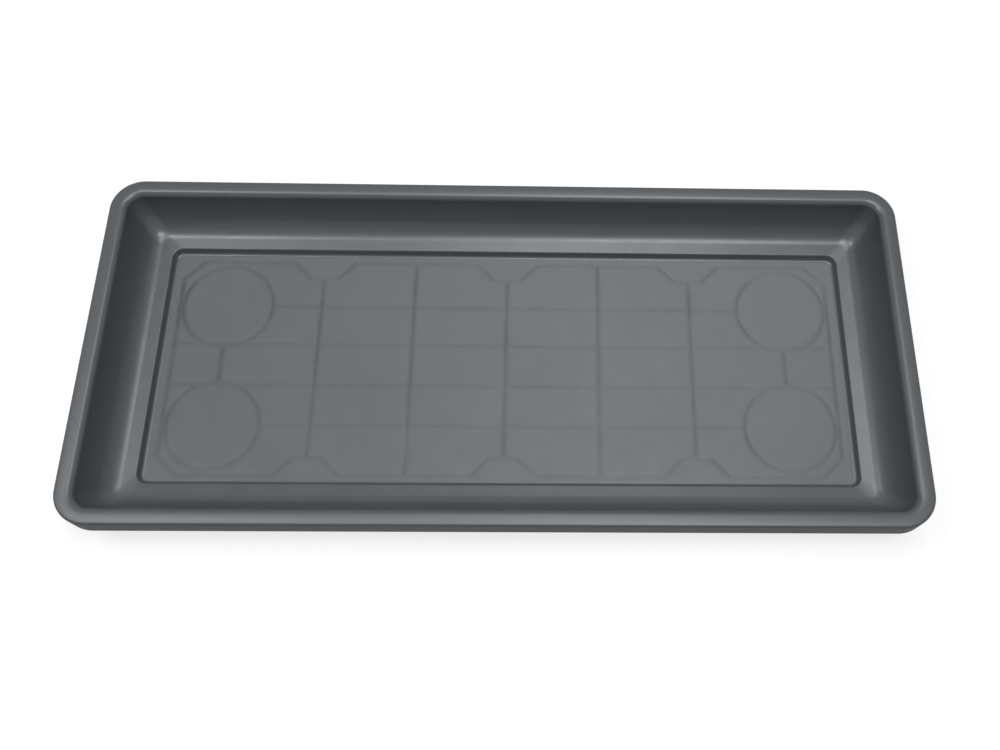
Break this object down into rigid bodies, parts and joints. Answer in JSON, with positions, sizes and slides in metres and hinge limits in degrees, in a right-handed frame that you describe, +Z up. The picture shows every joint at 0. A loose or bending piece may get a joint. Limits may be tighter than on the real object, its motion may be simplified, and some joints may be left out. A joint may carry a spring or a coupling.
{
  "type": "rectangular plant saucer",
  "caption": "Rectangular plastic plant saucer: a shallow tray with a rolled rim, leaning side walls, a ledge round a sunk floor, and a rib grid with ring feet underneath.",
  "frame": {"origin": "middle of the saucer's length and width, on the ground under the foot rings", "axes": "+X along the length, +Y across to the back, +Z up"},
  "size_m": [0.8, 0.358, 0.065],
  "materials": {
    "satin_plastic": "satin moulded polypropylene, anthracite grey, on the rim, skirt, wall and ledge",
    "floor_plastic": "the same plastic with a dull fine texture, on the floor",
    "underside_plastic": "the same plastic as moulded, dull, on the ribs and foot rings"
  },
  "bodies": {
    "root": {"skirt": "satin_plastic", "rim": "satin_plastic", "side_wall": "satin_plastic", "ledge": "satin_plastic", "floor_panel": "floor_plastic", "foot_ring_front_left": "underside_plastic", "foot_ring_front_right": "underside_plastic", "foot_ring_back_left": "underside_plastic", "foot_ring_back_right": "underside_plastic", "edge_rib_front": "underside_plastic", "edge_rib_right": "underside_plastic", "edge_rib_back": "underside_plastic", "edge_rib_left": "underside_plastic", "long_rib_1": "underside_plastic", "long_rib_2": "underside_plastic", "long_rib_3": "underside_plastic", "long_rib_4": "underside_plastic", "cross_rib_1": "underside_plastic", "cross_rib_2": "underside_plastic", "cross_rib_3": "underside_plastic", "cross_rib_4": "underside_plastic", "cross_rib_5": "underside_plastic", "cross_rib_6": "underside_plastic", "cross_rib_7": "underside_plastic"}
  },
  "joints": []
}
